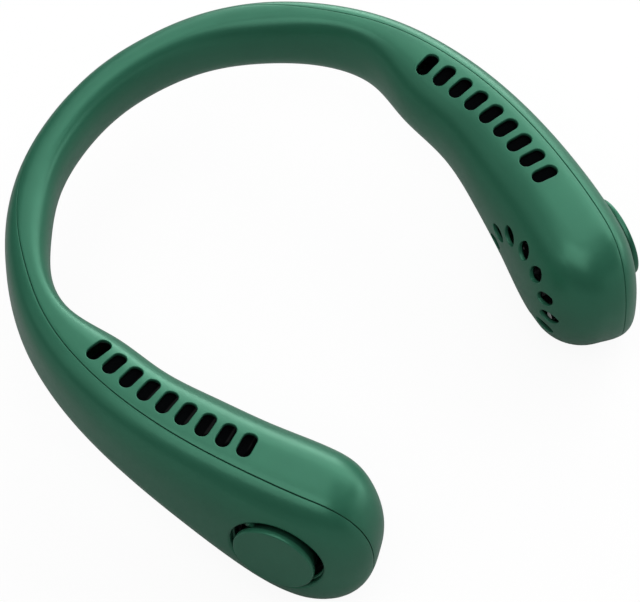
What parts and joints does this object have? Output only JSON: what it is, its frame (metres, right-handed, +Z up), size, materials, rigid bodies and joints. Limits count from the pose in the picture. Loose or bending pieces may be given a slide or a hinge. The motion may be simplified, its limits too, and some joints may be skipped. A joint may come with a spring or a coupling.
{
  "type": "electric neck fan",
  "caption": "C-shaped wearable neck fan in green plastic, a blower pod at each end, rows of oval air slots along the top and round intake caps on the outer sides.",
  "frame": {"origin": "centre of the footprint, on the plane that both pods rest on", "axes": "+Z up, square to the hoop's plane, +Y towards the back of the neck, -Y towards the open ends, +X to the wearer's side that carries the button and the socket"},
  "size_m": [0.1858, 0.1832, 0.0552],
  "materials": {
    "green_inner": "satin moulded plastic",
    "green_outer": "satin moulded plastic",
    "green_cap": "satin moulded plastic",
    "black_glossy": "glossy moulded plastic",
    "black_matte": "fine textured",
    "steel": "drawn",
    "steel_bright": "ground",
    "steel_dark": "stacked laminations",
    "magnet": "sintered",
    "bronze": "sintered bronze",
    "copper": "enamelled copper wire",
    "board_green": "solder mask",
    "pouch_foil": "laminated foil",
    "foam": "foam tape",
    "chip_black": "moulded epoxy",
    "lamp": "phosphor",
    "clear": "clear plastic",
    "wire_red": "insulation",
    "wire_black": "insulation"
  },
  "bodies": {
    "housing": {"inner_shell": "green_inner", "outer_shell": "green_outer", "intake_cap_right": "green_cap", "intake_cap_left": "green_cap", "bearing_sleeve_right": "bronze", "bearing_sleeve_left": "bronze", "stator_core_right": "steel_dark", "stator_core_left": "steel_dark", "motor_coils_right": "copper", "motor_coils_left": "copper", "motor_base_right": "black_matte", "motor_base_left": "black_matte", "motor_board_right": "board_green", "motor_board_left": "board_green", "blower_scroll_right": "black_matte", "blower_scroll_left": "black_matte", "air_guide_right": "black_glossy", "air_guide_left": "black_glossy", "battery_cell_right": "pouch_foil", "battery_cell_left": "pouch_foil", "foam_pad_right": "foam", "foam_pad_left": "foam", "main_board": "board_green", "board_chips": "chip_black", "usb_port": "steel_bright", "tact_switch": "steel_bright", "indicator_leds": "lamp", "light_pipe": "clear", "motor_wires_right": "wire_red", "motor_wires_left": "wire_red", "battery_wires": "wire_black", "blower_screws": "steel_bright"},
    "fan_right": {"impeller_right": "black_glossy", "rotor_cup_right": "steel", "magnet_ring_right": "magnet", "shaft_right": "steel_bright"},
    "fan_left": {"impeller_left": "black_glossy", "rotor_cup_left": "steel", "magnet_ring_left": "magnet", "shaft_left": "steel_bright"},
    "button": {"power_button": "green_cap", "switch_plunger": "chip_black"}
  },
  "joints": [
    {"name": "fan_right_spin", "type": "hinge", "parent": "housing", "child": "fan_right", "pos_m": [0.0649, -0.06306, 0.0264], "axis": [0.9426, -0.3338, 0], "continuous": true},
    {"name": "fan_left_spin", "type": "hinge", "parent": "housing", "child": "fan_left", "pos_m": [-0.0649, -0.06306, 0.0264], "axis": [-0.9426, -0.3338, 0], "continuous": true},
    {"name": "button_press", "type": "slide", "parent": "housing", "child": "button", "axis": [-0.9893, 0.1462, 0], "range_m": [0, 0.00035], "stiffness_N_per_m": 500}
  ]
}
